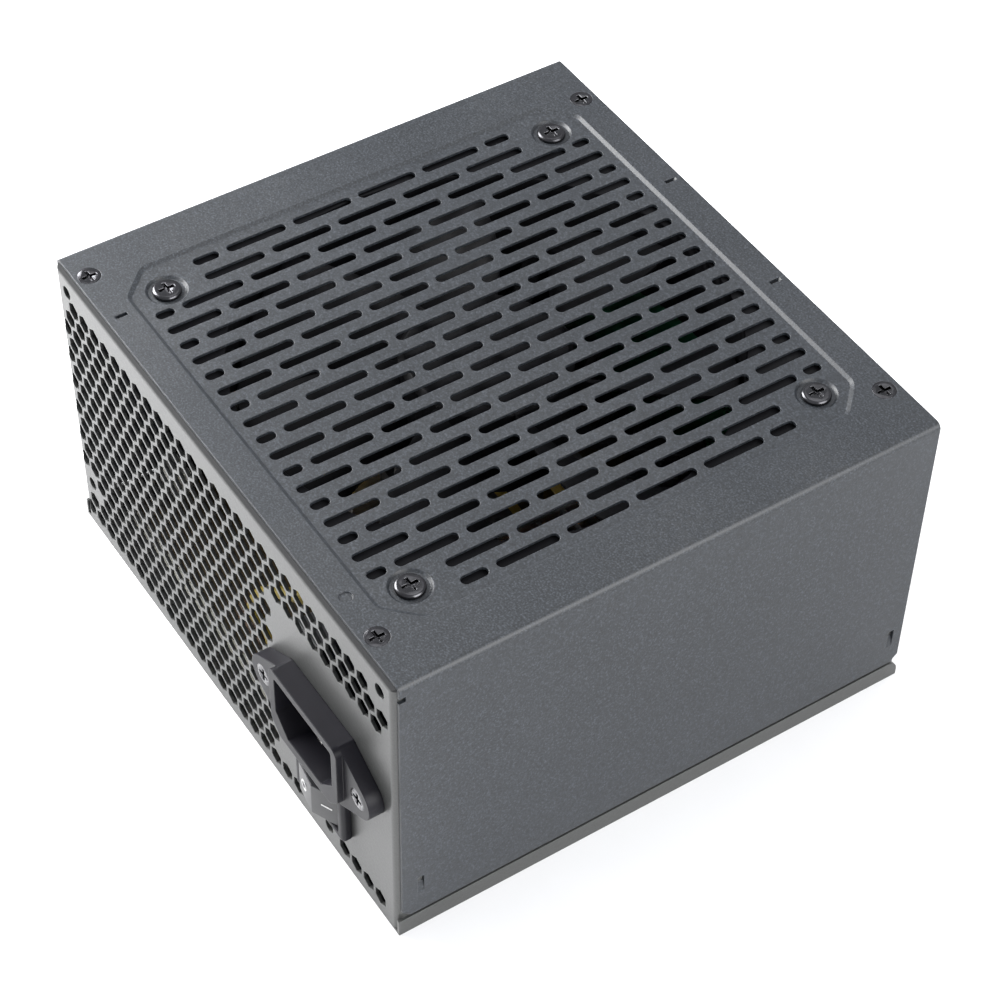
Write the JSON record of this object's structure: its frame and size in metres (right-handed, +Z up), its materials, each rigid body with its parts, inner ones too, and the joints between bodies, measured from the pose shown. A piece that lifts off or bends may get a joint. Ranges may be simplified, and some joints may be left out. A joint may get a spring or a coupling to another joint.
{
  "type": "power supply unit",
  "caption": "Computer power supply: sheet-metal box with a slotted, fan-cooled top, honeycomb rear panel, mains inlet, rocker switch and output sockets.",
  "frame": {"origin": "centre of the underside of the case", "axes": "+Z up through the slotted fan side; +Y from the rear panel with the mains inlet to the front wall with the output sockets; +X to the right for someone looking at the rear panel"},
  "size_m": [0.15, 0.1464, 0.086],
  "materials": {
    "cover_paint": "matte, finely textured powder coat",
    "tray_paint": "matte, finely textured powder coat",
    "black_screw": "glossy black",
    "plated_screw": "zinc plated",
    "black_plastic": "satin, moulded",
    "rocker_plastic": "semi-gloss",
    "mark_paint": "printed mark",
    "plated_contact": "nickel plated",
    "fan_plastic": "satin, moulded",
    "bearing_bronze": "sintered",
    "electrical_steel": "laminated",
    "shaft_steel": "ground",
    "magnet_ferrite": "matte, sintered",
    "coil_copper": "enamelled wire",
    "board_laminate": "paper laminate",
    "green_laminate": "solder mask",
    "insulating_film": "thin film",
    "standoff_metal": "turned",
    "heatsink_aluminium": "extruded",
    "package_epoxy": "moulded",
    "core_ferrite": "sintered",
    "winding_tape": "film tape",
    "core_powder": "coated",
    "capacitor_sleeve": "shrink sleeve",
    "film_box": "moulded",
    "disc_coating": "dipped",
    "fuse_body": "smooth",
    "socket_plastic": "moulded",
    "mains_insulation": "soft",
    "earth_insulation": "soft",
    "lead_insulation": "soft",
    "plug_nylon": "moulded"
  },
  "bodies": {
    "root": {"base_tray": "tray_paint", "top_cover": "cover_paint", "cover_screws": "black_screw", "inlet_housing": "black_plastic", "inlet_pins": "plated_contact", "inlet_screws": "plated_screw", "inlet_nuts": "plated_screw", "switch_housing": "black_plastic", "switch_terminals": "plated_contact", "fan_frame": "fan_plastic", "fan_bearing": "bearing_bronze", "fan_circuit_board": "green_laminate", "fan_stator": "electrical_steel", "fan_coils": "coil_copper", "fan_screws": "black_screw", "insulating_sheet": "insulating_film", "main_board": "board_laminate", "board_standoffs": "standoff_metal", "board_screws": "plated_screw", "primary_heatsink": "heatsink_aluminium", "secondary_heatsink": "heatsink_aluminium", "switching_transistors": "package_epoxy", "output_rectifiers": "package_epoxy", "device_screws": "plated_screw", "main_transformer_core": "core_ferrite", "main_transformer_winding": "winding_tape", "standby_transformer_core": "core_ferrite", "standby_transformer_winding": "winding_tape", "filter_choke_core": "core_ferrite", "filter_choke_winding": "coil_copper", "boost_choke_core": "core_powder", "boost_choke_winding": "coil_copper", "output_choke_core": "core_powder", "output_choke_winding": "coil_copper", "bulk_capacitor": "capacitor_sleeve", "output_capacitors": "capacitor_sleeve", "film_capacitors": "film_box", "disc_capacitors": "disc_coating", "bridge_rectifier": "package_epoxy", "mains_fuse": "fuse_body", "fuse_clips": "plated_contact", "control_card": "green_laminate", "control_chips": "package_epoxy", "output_board": "green_laminate", "motherboard_sockets": "socket_plastic", "processor_sockets": "socket_plastic", "graphics_sockets": "socket_plastic", "drive_sockets": "socket_plastic", "socket_pins": "plated_contact", "mains_leads": "mains_insulation", "earth_lead": "earth_insulation", "output_leads": "lead_insulation", "fan_lead": "lead_insulation", "fan_plug": "plug_nylon"},
    "fan_rotor": {"fan_impeller": "fan_plastic", "fan_shaft": "shaft_steel", "rotor_yoke": "electrical_steel", "rotor_magnet": "magnet_ferrite"},
    "rocker": {"switch_rocker": "rocker_plastic", "rocker_marks": "mark_paint"}
  },
  "joints": [
    {"name": "fan_spin", "type": "hinge", "parent": "root", "child": "fan_rotor", "pos_m": [0, 0, 0.07], "axis": [0, 0, 1], "continuous": true},
    {"name": "rocker_tilt", "type": "hinge", "parent": "root", "child": "rocker", "pos_m": [0.045, -0.0685, 0.0207], "axis": [0, 0, 1], "range_deg": [-16, 0]}
  ]
}
